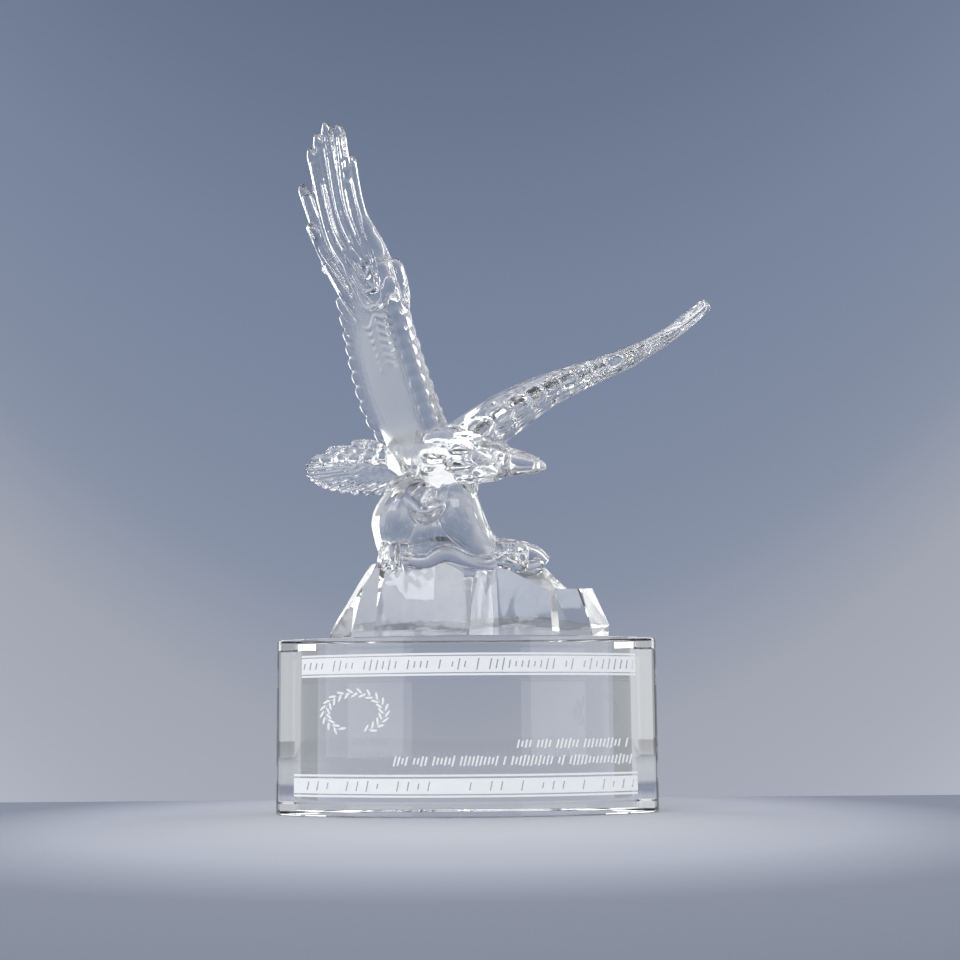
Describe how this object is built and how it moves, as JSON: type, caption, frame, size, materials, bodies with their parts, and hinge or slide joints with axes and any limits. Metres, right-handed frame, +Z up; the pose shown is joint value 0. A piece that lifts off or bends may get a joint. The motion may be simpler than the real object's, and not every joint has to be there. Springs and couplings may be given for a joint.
{
  "type": "crystal eagle award",
  "caption": "Clear crystal eagle landing on a rock with raised wings, on an oval crystal block with room for engraving.",
  "frame": {"origin": "middle of the block's underside", "axes": "+Z up, +X to the right seen from the engraved front, the front faces -Y"},
  "size_m": [0.1879, 0.1363, 0.2674],
  "materials": {
    "block_crystal": "polished clear crystal, faint cool tint in the thickness",
    "eagle_crystal": "polished clear crystal, water-white",
    "frosted_etching": "sand-blasted white frost on the block's front"
  },
  "bodies": {
    "root": {"crystal_block": "block_crystal", "eagle_on_rock": "eagle_crystal"}
  },
  "joints": []
}
